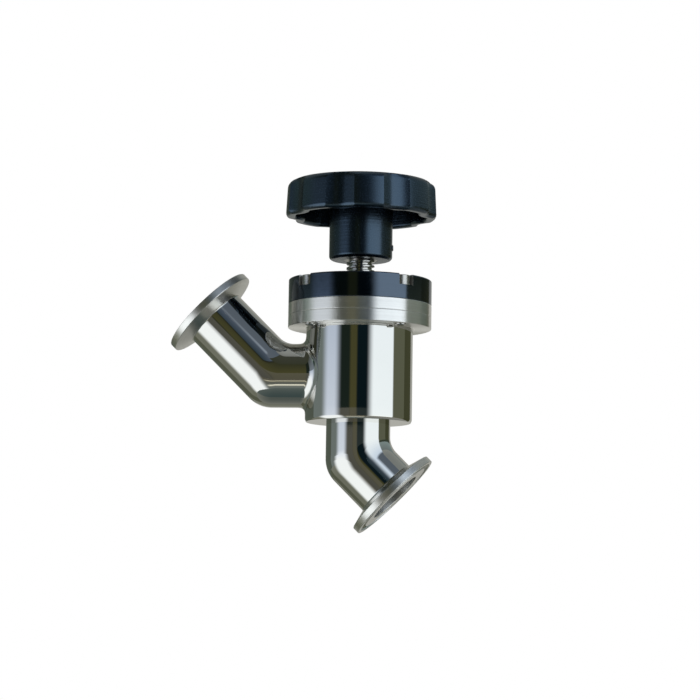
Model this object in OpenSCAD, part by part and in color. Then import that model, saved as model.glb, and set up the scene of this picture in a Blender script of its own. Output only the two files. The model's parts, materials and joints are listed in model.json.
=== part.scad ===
// Angle-pattern diaphragm valve with clamp ends and a rising handwheel, in millimetres.
// It is laid out on the spindle axis, with z = 0 where the bonnet meets its steel ring, and then
// shifted so that the origin is the centre of the outlet ferrule's face. The valve is open.

/* [Pipe ends] */
// Outside diameter of the clamp ferrules
ferrule_d = 50.5; // [46:0.5:64]
// Thickness of the ferrule at its rim
ferrule_rim = 3.5; // [2:0.05:4]
// Slope of the ferrule's back, in degrees
ferrule_slope = 16.5; // [10:0.5:25]
// Length of a ferrule from its face to the end of its neck
ferrule_len = 12.7; // [11:0.1:14]
// Diameter of the gasket groove in the ferrule's face
groove_d = 43.5; // [38:0.5:45]
// Width of the gasket groove
groove_w = 3.2; // [2:0.1:4]
// Outside diameter of the pipe
tube_d = 31.8; // [24:0.1:40]
// Wall thickness of the pipe
tube_wall = 1.65; // [1.2:0.05:3]

/* [Body] */
// Outside diameter of the body below its flange
body_d = 53; // [50:0.1:80]
// Wall thickness of the body round its chamber
body_wall = 5.5; // [4:0.1:6]
// Width by which the flange, the steel ring and the bonnet stand out from the body
flange_w = 9.1; // [8:0.1:20]
// Thickness of the body flange
flange_t = 5.9; // [5:0.1:9]
// Height of the body between the flange and the side branch
side_top = 7.7; // [4.5:0.1:20]
// Height of the side branch above the body's floor
side_over = 0.3; // [0.1:0.1:10]
// Thickness of the body's floor at the seat
floor_t = 7; // [4:0.1:15]
// Width of the seat round the outlet's bore
seat_land = 1.35; // [0.5:0.05:3]

/* [Branches] */
// Angle that each branch turns through, in degrees
bend_angle = 45; // [30:1:70]
// Radius on the inside of a bend
bend_inner_r = 11; // [4:0.5:30]
// Straight pipe between the body and the side branch's bend
side_stub = 5.66; // [4:0.01:40]
// Straight pipe between the side branch's bend and its ferrule
side_run = 22.96; // [1:0.01:80]
// Straight pipe between the body's floor and the outlet's bend
outlet_stub = 6.86; // [1:0.01:40]
// Straight pipe between the outlet's bend and its ferrule
outlet_run = 2.76; // [1:0.01:60]
// Size of the ground fillet between the side branch and the body
weld_size = 3.4; // [1:0.1:4]

/* [Bonnet] */
// Thickness of the steel ring that clamps the diaphragm
ring_t = 5.9; // [5:0.1:9]
// Height of the bonnet
bonnet_h = 12.3; // [12:0.1:18]
// Thickness of the bonnet's top plate
bonnet_top_t = 4; // [3.6:0.1:5]
// Distance from the flange's edge to the middle of the cap screws
screw_inset = 4.5; // [4.3:0.1:6]
// Number of cap screws
screw_count = 4; // [4:2:8]
// Diameter of a cap screw
screw_d = 5; // [3:0.5:5]
// Diameter of a cap screw's head
screw_head_d = 8.5; // [7:0.1:8.6]
// Height of a cap screw's head
screw_head_h = 5; // [3:0.1:5.2]
// Width of the open slot round each screw head
slot_w = 9.2; // [9:0.1:10]
// Depth of the slots
slot_depth = 5.4; // [5.3:0.1:7]
// Length of screw that stands out below the flange
screw_tip = 1; // [0.2:0.1:3]

/* [Handwheel] */
// Diameter of the handwheel over its lobes
wheel_d = 75.3; // [64:0.1:110]
// Height of the handwheel's rim
wheel_h = 17.7; // [14:0.1:24]
// Height of the rim's lower edge above the end of the hub
wheel_rise = 21.2; // [18:0.1:40]
// Number of lobes round the rim
lobe_count = 8; // [5:1:12]
// Depth of the hollows between the lobes
flute_depth = 1.8; // [0.5:0.1:3]
// Rounding of the rim's upper edge
top_round = 3.4; // [1:0.1:5]
// Wall thickness of the rim
rim_wall = 5.2; // [4.5:0.1:7]
// Thickness of the web that closes the top
web_t = 3.4; // [2.5:0.1:6]
// Rise of the top towards its centre
wheel_crown = 1.2; // [0.5:0.1:3]
// Diameter of the hub
hub_d = 31.5; // [28:0.1:40]
// Gap left between the bonnet and the end of the hub with the valve closed
hub_clear = 2.2; // [1:0.1:12]
// Wall thickness of the steel bush in the hub
bush_wall = 1.5; // [1:0.1:4]
// Diameter of the cross pin
pin_d = 3; // [2:0.1:4]
// Height of the cross pin above the end of the hub
pin_rise = 6.3; // [4:0.1:12]

/* [Mechanism] */
// Diameter of the spindle over its thread
spindle_d = 14; // [10:0.1:17]
// Length of spindle inside the hub
spindle_grip = 25; // [15:0.5:32]
// Width by which the thrust collar stands out from the spindle
collar_lip = 2.2; // [1.6:0.1:2.8]
// Height of the thrust collar
collar_h = 4; // [3:0.1:6]
// Travel of the compressor from open to closed
stroke = 8; // [4:0.5:8]
// Width of the diaphragm's web between the compressor's guide and the chamber's wall
web_w = 4.5; // [3.5:0.1:5]
// Thickness of the diaphragm's clamped rim
rim_t = 3; // [2:0.1:3.5]
// Wall thickness of the diaphragm
skin_t = 2.8; // [1.5:0.1:3]
// Diameter of the stud that holds the diaphragm
stud_d = 6; // [4:0.1:8]
// Diameter of the dowels that stop the compressor turning
dowel_d = 4; // [2:0.1:4.2]

/* [Hidden] */
$fn = 96;

// Clearances
run_gap = 0.08;
seat_gap = 0.05;
free_gap = 0.3;
through = 1;

// Radii
ferrule_r = ferrule_d / 2;
tube_r = tube_d / 2;
bore_r = tube_r - tube_wall;
body_r = body_d / 2;
chamber_r = body_r - body_wall;
flange_r = body_r + flange_w;
guide_r = chamber_r - web_w;
spindle_r = spindle_d / 2;
collar_r = spindle_r + collar_lip;
bush_r = spindle_r + bush_wall;
hub_r = hub_d / 2;
screw_r = screw_d / 2;
screw_ring_r = flange_r - screw_inset;

// The bends: the pipe's axis runs on a larger radius inside the turn than its outer wall shows
bend_r = tube_r + bend_inner_r;
bend_reach = bend_r * tan(bend_angle / 2);
bend_blend = 0.06;
side_reach = body_r + side_stub + bend_reach;
side_leg = bend_reach + side_run + ferrule_len;
outlet_drop = outlet_stub + bend_reach;
outlet_leg = bend_reach + outlet_run + ferrule_len;

// Levels along the spindle axis
ring_bottom = -ring_t;
flange_bottom = ring_bottom - flange_t;
side_z = flange_bottom - side_top - tube_r;
floor_top = side_z - tube_r - side_over;
body_bottom = floor_top - floor_t;
outlet_z = body_bottom - outlet_drop;
ceiling = bonnet_h - bonnet_top_t;
hub_bottom = bonnet_h + stroke + hub_clear;
wheel_bottom = hub_bottom + wheel_rise;
wheel_top = wheel_bottom + wheel_h;
slot_floor = bonnet_h - slot_depth;

// Where the outlet's face lies, which becomes the origin
outlet_face = [outlet_leg * sin(bend_angle), 0, outlet_z - outlet_leg * cos(bend_angle)];

// Diaphragm and seat
rim_bottom = ring_bottom - rim_t;
rim_land = 4.3;
rim_r = chamber_r + rim_land;
skin_gap = 0.5;
seat_rise = 2.6;
seat_r = bore_r + seat_land;
skin_out_r = seat_r - free_gap;
skin_in_r = skin_out_r - skin_t;
core_r = skin_in_r - skin_gap;
plug_pad = 3.6;
plug_bottom = floor_top + stroke;
plug_chamfer = 3;
core_bottom = plug_bottom + plug_pad + skin_gap;
core_top = ring_bottom - 8;
guide_bottom = ring_bottom - 1.2;
skin_shoulder = ring_bottom - 4;
skin_neck = core_top - 4;

// Compressor: a guide that reaches up round the spindle nut
guide_top = ceiling - free_gap;
socket_r = collar_r + free_gap;
nut_r = socket_r - free_gap;
nut_bottom = free_gap;
ring_top = nut_bottom - 2 * free_gap;
retainer_h = 4;
collar_top = ring_top - retainer_h - free_gap;
collar_bottom = collar_top - collar_h;
washer_t = 1.5;
socket_floor = collar_bottom - free_gap - washer_t;
dowel_r = dowel_d / 2;
dowel_ring_r = (socket_r + guide_r) / 2;
nut_clear = 0.4;
nut_head_r = dowel_ring_r - dowel_r - nut_clear;
nut_head_h = 2;
nut_head_z = bonnet_h - 3;
wiper_proud = 0.5;
dowel_low = -dowel_d;
dowel_high = bonnet_h - 1.2;
dowel_hole_floor = dowel_low - dowel_d;
stud_r = stud_d / 2;
stud_top = core_bottom + 12;
stud_low = core_bottom - skin_gap - 2;

// Small edges
edge = 0.5;
ring_edge = 0.25;
bonnet_edge = 0.7;

// Handwheel
wheel_r = wheel_d / 2;
wheel_steps = 12 * lobe_count;
arc_steps = 3;
lobe_turn = 11.25 - 90;
rim_flare = 0.9;
rim_round = 3.2;
hollow_round = 1;
rim_in_r = wheel_r - rim_wall;
rim_draft = 0.8;
web_round = 2.5;
web_under = wheel_top - web_t;
crown_rise = 0.75;
bush_top = hub_bottom + spindle_grip;
hub_round = 1.5;
pin_proud = 0.5;

module place() {
    translate(-outlet_face) children();
}

module half_disc(r) {
    intersection() {
        circle(r = r);
        translate([0, -r]) square([r, 2 * r]);
    }
}

// Two straight runs, a slice of a ball outside the turn and a swept bend inside it make one pipe
// elbow. It starts up the z axis, turns towards +x at the origin and leaves along the bend angle.
module pipe_run(r, leg_in, leg_out) {
    translate([0, 0, -leg_in]) cylinder(r = r, h = leg_in);
    rotate([0, bend_angle, 0]) cylinder(r = r, h = leg_out);
    rotate([90, 0, 180]) rotate_extrude(angle = bend_angle) half_disc(r + bend_blend);
    translate([bend_r, 0, -bend_reach])
        rotate([90, 0, 180])
            rotate_extrude(angle = bend_angle) translate([bend_r, 0]) circle(r = r - bend_blend);
}

module elbow(leg_in, leg_out) {
    difference() {
        pipe_run(tube_r, leg_in, leg_out);
        pipe_run(bore_r, leg_in + through, leg_out + through);
    }
}

module leg_end(leg_out) {
    rotate([0, bend_angle, 0]) translate([0, 0, leg_out]) children();
}

// Clamp ferrule with its face at z = 0, looking up the z axis
module ferrule() {
    slope_drop = (ferrule_r - tube_r) * tan(ferrule_slope);
    difference() {
        rotate_extrude() polygon([
            [bore_r, 0],
            [ferrule_r - edge, 0],
            [ferrule_r, -edge],
            [ferrule_r, edge - ferrule_rim],
            [ferrule_r - edge, -ferrule_rim],
            [tube_r, -ferrule_rim - slope_drop],
            [tube_r, -ferrule_len],
            [bore_r, -ferrule_len]
        ]);
        rotate_extrude() translate([groove_d / 2, 0]) circle(d = groove_w, $fn = 32);
    }
}

module at_side() {
    translate([-side_reach, 0, side_z]) rotate([0, -90, 0]) children();
}

module at_outlet() {
    translate([0, 0, outlet_z]) rotate([180, 0, 0]) children();
}

module at_screws() {
    for (i = [0 : screw_count - 1]) {
        rotate([0, 0, (i + 0.5) * 360 / screw_count]) translate([screw_ring_r, 0, 0]) children();
    }
}

module at_dowels() {
    for (side = [-1, 1]) translate([0, side * dowel_ring_r, 0]) children();
}

// Disc with its edges broken
module turned_disc(r, low, high, chamfer) {
    rotate_extrude() polygon([
        [0, low],
        [r - chamfer, low],
        [r, low + chamfer],
        [r, high - chamfer],
        [r - chamfer, high],
        [0, high]
    ]);
}

module valve_body() {
    color("silver") place() difference() {
        union() {
            turned_disc(flange_r, flange_bottom, ring_bottom, ring_edge);
            turned_disc(body_r, body_bottom, flange_bottom + through, edge);
        }
        // Recess for the diaphragm's rim, chamber, conical seat and outlet bore
        rotate_extrude() polygon([
            [0, body_bottom - through],
            [bore_r, body_bottom - through],
            [bore_r, floor_top - seat_rise],
            [seat_r, floor_top],
            [chamber_r, floor_top],
            [chamber_r, rim_bottom],
            [rim_r + seat_gap, rim_bottom],
            [rim_r + seat_gap, ring_bottom + through],
            [0, ring_bottom + through]
        ]);
        // Port for the side branch
        translate([0, 0, side_z])
            rotate([0, -90, 0]) cylinder(r = tube_r + seat_gap, h = body_r + through);
        at_screws() translate([0, 0, flange_bottom - through])
            cylinder(r = screw_r + seat_gap, h = flange_t + 2 * through, $fn = 32);
    }
}

module side_elbow() {
    color("silver") place() difference() {
        at_side() elbow(side_reach - chamber_r / 2, side_leg - ferrule_len);
        translate([0, 0, body_bottom]) cylinder(r = chamber_r, h = flange_bottom - body_bottom);
    }
}

// Fillet ground along the saddle where the side branch leaves the body. Each section has the
// saddle's corner, a point out along the pipe, a hollow curve, and points back along the body.
weld_steps = 60;
weld_curve = 6;
weld_back = 3;
weld_in_r = (tube_r + seat_gap) / cos(180 / weld_steps);
weld_body_r = body_r + seat_gap;

function weld_saddle(r, turn) = [
    -sqrt(weld_body_r ^ 2 - (r * sin(turn)) ^ 2),
    r * sin(turn),
    side_z + r * cos(turn)
];
function weld_section(turn) = let (
    corner = weld_saddle(weld_in_r, turn),
    on_pipe = corner - [weld_size, 0, 0],
    on_body = weld_saddle(weld_in_r + weld_size, turn)
) [
    corner,
    for (i = [0 : weld_curve]) let (u = i / weld_curve)
        (1 - u) ^ 2 * on_pipe + 2 * u * (1 - u) * corner + u ^ 2 * on_body
            - [weld_lift(u), 0, 0],
    for (i = [1 : weld_back - 1])
        weld_saddle(weld_in_r + weld_size * (1 - i / weld_back), turn)
];
// A little extra thickness in the middle of the curve, so that the section never closes up
function weld_lift(u) = 0.2 * u * (1 - u);

module side_weld() {
    sections = [for (i = [0 : weld_steps - 1]) weld_section(i * 360 / weld_steps)];
    count = len(sections[0]);
    points = [for (section = sections) each section];
    color("silver") place() polyhedron(points, [
        for (i = [0 : weld_steps - 1], j = [0 : count - 1]) let (
            a = i * count + j,
            b = i * count + (j + 1) % count,
            c = ((i + 1) % weld_steps) * count + j,
            d = ((i + 1) % weld_steps) * count + (j + 1) % count
        ) each [[a, b, d], [a, d, c]]
    ]);
}

module side_ferrule() {
    color("gainsboro") place() at_side() leg_end(side_leg) ferrule();
}

module outlet_tube() {
    color("silver") place() at_outlet() translate([0, 0, -outlet_drop]) difference() {
        cylinder(r = tube_r, h = outlet_stub);
        translate([0, 0, -through]) cylinder(r = bore_r, h = outlet_stub + 2 * through);
    }
}

module outlet_elbow() {
    color("silver") place() at_outlet() elbow(bend_reach, outlet_leg - ferrule_len);
}

module outlet_ferrule() {
    color("gainsboro") place() at_outlet() leg_end(outlet_leg) ferrule();
}

// Moulded diaphragm: a clamped rim, a bell and a plug with a pocket for its stud
module diaphragm() {
    color("whitesmoke") place() difference() {
        rotate_extrude() polygon([
            [0, plug_bottom],
            [skin_out_r - plug_chamfer, plug_bottom],
            [skin_out_r, plug_bottom + plug_chamfer],
            [skin_out_r, skin_neck],
            [chamber_r - skin_gap, skin_shoulder],
            [chamber_r - skin_gap, rim_bottom],
            [rim_r, rim_bottom],
            [rim_r, ring_bottom],
            [guide_r + skin_gap, ring_bottom],
            [guide_r + skin_gap, skin_shoulder],
            [skin_in_r, skin_neck],
            [skin_in_r, plug_bottom + plug_pad],
            [0, plug_bottom + plug_pad]
        ]);
        translate([0, 0, stud_low - free_gap]) cylinder(r = stud_r + free_gap, h = plug_pad);
    }
}

module bonnet_ring() {
    color("lightgray") place() difference() {
        turned_disc(flange_r, ring_bottom, 0, ring_edge);
        translate([0, 0, ring_bottom - through])
            cylinder(r = guide_r + run_gap, h = ring_t + 2 * through);
        at_screws() translate([0, 0, ring_bottom - through])
            cylinder(r = screw_r + free_gap, h = ring_t + 2 * through, $fn = 32);
    }
}

module bonnet() {
    color([0.12, 0.13, 0.15]) place() difference() {
        turned_disc(flange_r, 0, bonnet_h, bonnet_edge);
        // Recess for the compressor, and the stepped seat of the spindle nut
        translate([0, 0, -through]) cylinder(r = guide_r + free_gap, h = ceiling + through);
        cylinder(r = nut_r + seat_gap, h = bonnet_h);
        translate([0, 0, nut_head_z]) cylinder(r = nut_head_r + seat_gap, h = bonnet_h);
        at_dowels() cylinder(r = dowel_r + seat_gap, h = dowel_high, $fn = 32);
        at_screws() {
            translate([0, 0, -through]) cylinder(r = screw_r + free_gap, h = bonnet_h, $fn = 32);
            translate([0, 0, slot_floor]) cylinder(d = slot_w, h = bonnet_h);
            translate([0, -slot_w / 2, slot_floor]) cube([flange_r, slot_w, bonnet_h]);
        }
    }
}

module cap_screws() {
    socket_d = screw_d;
    socket_depth = screw_head_h / 2;
    shank_low = flange_bottom - screw_tip;
    color("gainsboro") place() at_screws() difference() {
        union() {
            translate([0, 0, slot_floor]) cylinder(d = screw_head_d, h = screw_head_h, $fn = 48);
            translate([0, 0, shank_low])
                cylinder(r = screw_r, h = slot_floor - shank_low + edge, $fn = 32);
        }
        translate([0, 0, slot_floor + screw_head_h - socket_depth])
            cylinder(d = socket_d, h = screw_head_h, $fn = 6);
    }
}

module spindle_nut() {
    color("darkkhaki") place() difference() {
        union() {
            translate([0, 0, nut_bottom]) cylinder(r = nut_r, h = nut_head_z - nut_bottom + edge);
            translate([0, 0, nut_head_z]) cylinder(r = nut_head_r, h = nut_head_h);
        }
        cylinder(r = spindle_r + run_gap, h = bonnet_h);
    }
}

module stem_wiper() {
    low = nut_head_z + nut_head_h;
    high = bonnet_h + wiper_proud;
    color("dimgray") place() rotate_extrude() polygon([
        [spindle_r + free_gap, low],
        [nut_head_r, low],
        [nut_head_r, bonnet_h],
        [spindle_r + free_gap + wiper_proud, high],
        [spindle_r + free_gap, high]
    ]);
}

module guide_dowels() {
    color("gainsboro") place() at_dowels() translate([0, 0, dowel_low])
        cylinder(r = dowel_r, h = dowel_high - dowel_low, $fn = 32);
}

module compressor() {
    color("lightsteelblue") place() difference() {
        rotate_extrude() polygon([
            [0, core_bottom],
            [core_r - edge, core_bottom],
            [core_r, core_bottom + edge],
            [core_r, core_top],
            [guide_r, guide_bottom],
            [guide_r, guide_top - edge],
            [guide_r - edge, guide_top],
            [0, guide_top]
        ]);
        translate([0, 0, socket_floor])
            cylinder(r = socket_r, h = guide_top - socket_floor + through);
        at_dowels() translate([0, 0, dowel_hole_floor])
            cylinder(r = dowel_r + free_gap, h = guide_top - dowel_hole_floor + through, $fn = 32);
        translate([0, 0, core_bottom - through])
            cylinder(r = stud_r + seat_gap, h = stud_top - core_bottom + through);
    }
}

module diaphragm_stud() {
    color("gainsboro") place() translate([0, 0, stud_low]) cylinder(r = stud_r, h = stud_top - stud_low);
}

module thrust_washer() {
    color("darkkhaki") place() translate([0, 0, socket_floor])
        cylinder(r = socket_r - seat_gap, h = washer_t);
}

// Screwed into the compressor above the spindle's collar
module retaining_ring() {
    color("gainsboro") place() difference() {
        translate([0, 0, ring_top - retainer_h]) cylinder(r = socket_r - seat_gap, h = retainer_h);
        translate([0, 0, ring_top - retainer_h - through])
            cylinder(r = spindle_r + free_gap, h = retainer_h + 2 * through);
    }
}

module cross_hole(r) {
    translate([-hub_d, 0, hub_bottom + pin_rise])
        rotate([0, 90, 0]) cylinder(r = r, h = 2 * hub_d, $fn = 32);
}

module spindle() {
    color("gainsboro") place() difference() {
        union() {
            translate([0, 0, collar_bottom]) cylinder(r = collar_r, h = collar_h);
            translate([0, 0, collar_bottom])
                cylinder(r = spindle_r, h = bush_top - free_gap - collar_bottom);
        }
        cross_hole(pin_d / 2 + seat_gap);
    }
}

module hub_bush() {
    color("darkgray") place() difference() {
        translate([0, 0, hub_bottom]) cylinder(r = bush_r, h = spindle_grip);
        translate([0, 0, hub_bottom - through])
            cylinder(r = spindle_r + seat_gap, h = spindle_grip + 2 * through);
        cross_hole(pin_d / 2 + seat_gap);
    }
}

module hub_pin() {
    color("gainsboro") place() translate([-hub_r + edge, 0, hub_bottom + pin_rise])
        rotate([0, 90, 0]) cylinder(d = pin_d, h = hub_d - edge + pin_proud, $fn = 32);
}

// Share of a full flute at an angle: 0 on a lobe, 1 in the middle of a flute, which is hollowed
// out between crisp edges and as wide as a lobe
function flute(turn) = let (
    pitch = 360 / lobe_count,
    off = turn - lobe_turn - pitch / 2,
    away = abs(off - pitch * round(off / pitch)) / (pitch / 4)
) max(0, 1 - away ^ 2);

// One ring of the moulding at a level, with a share of the flutes
function wheel_ring(r, z, share) = [
    for (i = [0 : wheel_steps - 1]) let (
        turn = i * 360 / wheel_steps,
        reach = r - share * flute_depth * flute(turn)
    ) [reach * cos(turn), reach * sin(turn), z]
];

// An arc of the moulding's section about a centre, with a share of the flutes that may fade out
function section_arc(r, z, radius, from, to, share, fade = 0) = [
    for (i = [0 : arc_steps]) let (
        part = i / arc_steps,
        turn = from + (to - from) * part
    ) [r + radius * cos(turn), z + radius * sin(turn), share - fade * part ^ 2]
];

// The moulding's section from the blind end of the bush's hole, round the hub, the hollow
// underside and the flared rim, to the crown: radius, level and share of the flutes
wheel_section = concat(
    [[bush_r + seat_gap, bush_top, 0], [bush_r + seat_gap, hub_bottom, 0]],
    section_arc(hub_r - hub_round, hub_bottom + hub_round, hub_round, -90, 0, 0),
    section_arc(hub_r + hub_round, web_under - hub_round, hub_round, 180, 90, 0),
    section_arc(rim_in_r - rim_draft - web_round, web_under - web_round, web_round, 90, 0, 1),
    section_arc(rim_in_r + hollow_round, wheel_bottom + hollow_round, hollow_round, 180, 270, 1),
    section_arc(wheel_r - rim_round, wheel_bottom + rim_round, rim_round, -90, 0, 1),
    section_arc(wheel_r - rim_flare - top_round, wheel_top - top_round, top_round, 0, 90, 1, 1),
    [[hub_r, wheel_top + crown_rise * wheel_crown, 0], [bush_r, wheel_top + wheel_crown, 0]]
);

module wheel_moulding() {
    rings = len(wheel_section);
    points = [for (s = wheel_section) each wheel_ring(s[0], s[1], s[2])];
    polyhedron(
        concat(points, [[0, 0, bush_top], [0, 0, wheel_top + wheel_crown]]),
        concat(
            [for (k = [0 : rings - 2], i = [0 : wheel_steps - 1]) let (
                a = k * wheel_steps + i,
                b = k * wheel_steps + (i + 1) % wheel_steps
            ) each [[a, b, b + wheel_steps], [a, b + wheel_steps, a + wheel_steps]]],
            [for (i = [0 : wheel_steps - 1])
                [rings * wheel_steps, (i + 1) % wheel_steps, i]],
            [for (i = [0 : wheel_steps - 1]) let (last = (rings - 1) * wheel_steps)
                [rings * wheel_steps + 1, last + i, last + (i + 1) % wheel_steps]]
        )
    );
}

module handwheel() {
    color([0.12, 0.14, 0.17]) place() difference() {
        wheel_moulding();
        cross_hole(pin_d / 2 + seat_gap);
    }
}

valve_body();
side_elbow();
side_weld();
side_ferrule();
outlet_tube();
outlet_elbow();
outlet_ferrule();
diaphragm();
bonnet_ring();
bonnet();
cap_screws();
spindle_nut();
stem_wiper();
guide_dowels();
compressor();
diaphragm_stud();
thrust_washer();
retaining_ring();
spindle();
hub_bush();
handwheel();
hub_pin();
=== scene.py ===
import json
import math

import bmesh
import bpy
from mathutils import Matrix, Vector

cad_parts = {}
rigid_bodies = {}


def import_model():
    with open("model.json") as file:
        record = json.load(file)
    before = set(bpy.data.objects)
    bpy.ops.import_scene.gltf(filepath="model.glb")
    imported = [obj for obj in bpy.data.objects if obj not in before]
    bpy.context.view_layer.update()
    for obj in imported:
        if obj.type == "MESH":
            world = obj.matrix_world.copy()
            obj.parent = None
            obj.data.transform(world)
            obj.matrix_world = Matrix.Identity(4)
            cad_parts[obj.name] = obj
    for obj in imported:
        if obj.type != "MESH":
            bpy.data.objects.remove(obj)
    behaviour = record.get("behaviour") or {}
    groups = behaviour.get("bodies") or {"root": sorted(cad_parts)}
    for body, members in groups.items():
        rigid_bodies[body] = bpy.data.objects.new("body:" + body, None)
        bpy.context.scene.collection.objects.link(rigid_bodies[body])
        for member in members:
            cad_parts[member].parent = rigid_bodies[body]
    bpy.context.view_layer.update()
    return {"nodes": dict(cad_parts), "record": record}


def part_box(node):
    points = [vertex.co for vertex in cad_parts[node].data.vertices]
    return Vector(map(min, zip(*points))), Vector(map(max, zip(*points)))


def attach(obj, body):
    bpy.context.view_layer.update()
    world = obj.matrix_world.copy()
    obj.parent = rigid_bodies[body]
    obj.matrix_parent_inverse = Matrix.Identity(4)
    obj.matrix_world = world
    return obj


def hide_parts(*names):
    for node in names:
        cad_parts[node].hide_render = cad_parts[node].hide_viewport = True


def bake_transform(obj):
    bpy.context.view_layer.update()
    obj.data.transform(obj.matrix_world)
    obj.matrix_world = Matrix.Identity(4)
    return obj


bl_info = {
    "name": "Diaphragm Valve",
    "version": (1, 0, 0),
    "blender": (4, 5, 0),
    "location": "View3D > Sidebar > Valve",
    "description": "Models the pieces, finishes and studio of an angled diaphragm valve with clamp ends",
    "category": "Object",
}

for leftover in list(bpy.data.objects):
    bpy.data.objects.remove(leftover)
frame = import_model()
BOX = {name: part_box(name) for name in frame["nodes"]}
MOUNTS = {mount["name"]: mount for mount in frame["record"]["mounts"]}

UP = Vector((0, 0, 1))
OUT = Vector((1, 0, 0))
SPINDLE = Vector(((BOX["bonnet_ring"][0].x + BOX["bonnet_ring"][1].x) / 2, 0, 0))
SIDE_LEVEL = (BOX["side_weld"][0].z + BOX["side_weld"][1].z) / 2
FULL_TURN = 2 * math.pi
SMOOTH_ANGLE = math.radians(32)
# Gap round seated pieces, and how far a drill runs out of what it drills.
SEAT_GAP = 0.00005
OVERRUN = 0.001
# Roundings of small edges: only deburred, eased, and plainly rounded.
CRISP = 0.0002
EASED = 0.0003
ROUND = 0.0004
# Degrees of a rounding that one of its segments takes.
ROUNDING_STEP = 15
# Slack for points that count as one, seams to knit, vertices on a face, and faces beside an edge.
SAME_POINT = 0.0000005
KNIT_GAP = 0.000002
HAIR = 0.00001
SLACK = 0.0001
# Roughness of turned steel.
SATIN = 0.276
MATT = 0.3
# Distance of the cards with soft sides, as a share of the dome, and degrees to each of a card's faces.
SOFT_CARD_SHARE = 0.96
CARD_STEP = 5


def low(node):
    """Level of the underside of a CAD node."""
    return BOX[node][0].z


def high(node):
    """Level of the top of a CAD node."""
    return BOX[node][1].z


def length(name, description, default):
    """A size in metres that a user can change."""
    return bpy.props.FloatProperty(
        name=name, description=description, default=default, min=0, precision=5, unit="LENGTH"
    )


def colour(name, description, default):
    """A finish's colour that a user can change."""
    return bpy.props.FloatVectorProperty(
        name=name, description=description, default=default, min=0, max=1, size=3, subtype="COLOR"
    )


def angle(name, description, degrees):
    """An angle that a user can change."""
    return bpy.props.FloatProperty(
        name=name, description=description, default=math.radians(degrees), subtype="ANGLE"
    )


class PipeSizes(bpy.types.PropertyGroup):
    """Sizes of the two branches and their clamp ends."""

    tube: length("Tube", "Outside diameter of both branches", 0.0318)
    wall: length("Tube wall", "Thickness of the tube's wall", 0.00165)
    bend_outside: length("Outer bend", "Radius of the bend along its outer line", 0.0159)
    bend_inside: length("Inner bend", "Radius of the bend along its inner line", 0.011)
    weld: length("Weld", "Size of the ground fillet between side branch and body", 0.0034)
    ferrule: length("Ferrule", "Outside diameter of the clamp ferrules", 0.0505)
    ferrule_rim: length("Ferrule rim", "Thickness of the ferrule at its rim", 0.0035)
    ferrule_length: length("Ferrule length", "From the ferrule's face to its weld", 0.0127)
    ferrule_slope: angle("Ferrule slope", "Slope of the ferrule's back", 16.5)
    groove: length("Groove", "Diameter of the gasket groove", 0.0435)
    groove_width: length("Groove width", "Width of the gasket groove", 0.0032)


class BodySizes(bpy.types.PropertyGroup):
    """Sizes of the body, its flange and the diaphragm."""

    body: length("Body", "Outside diameter of the body", 0.053)
    chamber: length("Chamber", "Inside diameter of the body", 0.042)
    flange: length("Flange", "Outside diameter of flange, ring and bonnet", 0.0712)
    flange_thickness: length("Flange thickness", "Thickness of the body's flange", 0.0059)
    floor: length("Floor", "Thickness of the body's floor", 0.007)
    seat_rise: length("Seat rise", "Depth of the conical seat", 0.0026)
    seat_land: length("Seat land", "Width of the conical seat", 0.00135)
    rim_land: length("Rim land", "Width of the recess for the diaphragm's rim", 0.0043)
    rim: length("Rim", "Thickness of the diaphragm's rim", 0.003)
    skin: length("Skin", "Thickness of the diaphragm's skin", 0.0028)
    edge: length("Body edge", "How far the body's lower edge is ground back", 0.0006)
    edge_height: length("Body edge height", "Height of the body's ground lower edge", 0.00105)
    flange_edge: length("Flange edge", "Rounding of the flange's and ring's edges", 0.0003)


class BonnetSizes(bpy.types.PropertyGroup):
    """Sizes of the bonnet, its screws and the spindle."""

    guide: length("Guide", "Diameter of the compressor's guide", 0.033)
    nut: length("Nut seat", "Diameter of the recess round the spindle nut", 0.0214)
    top: length("Top", "Thickness of the bonnet above the guide", 0.004)
    edge: length("Bonnet edge", "Rounding of the bonnet's upper edge", 0.0007)
    slot: length("Slot", "Width of the screw slots", 0.0088)
    slot_depth: length("Slot depth", "Depth of the screw slots", 0.0054)
    screw: length("Screw", "Diameter of the screws' thread", 0.005)
    screw_head: length("Screw head", "Diameter of the screws' heads", 0.0085)
    screw_inset: length("Screw inset", "From the bonnet's edge to the screws' axes", 0.0042)
    screw_count: bpy.props.IntProperty(
        name="Screws", description="Number of screws round the bonnet", default=4, min=2
    )
    spindle: length("Spindle", "Outside diameter of the spindle's thread", 0.014)
    spindle_root: length("Spindle root", "Root diameter of the spindle's thread", 0.0114)
    collar: length("Collar", "Diameter of the spindle's thrust collar", 0.0184)
    collar_height: length("Collar height", "Height of the spindle's thrust collar", 0.004)
    pitch: length("Pitch", "Pitch of the spindle's thread", 0.0025)


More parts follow.
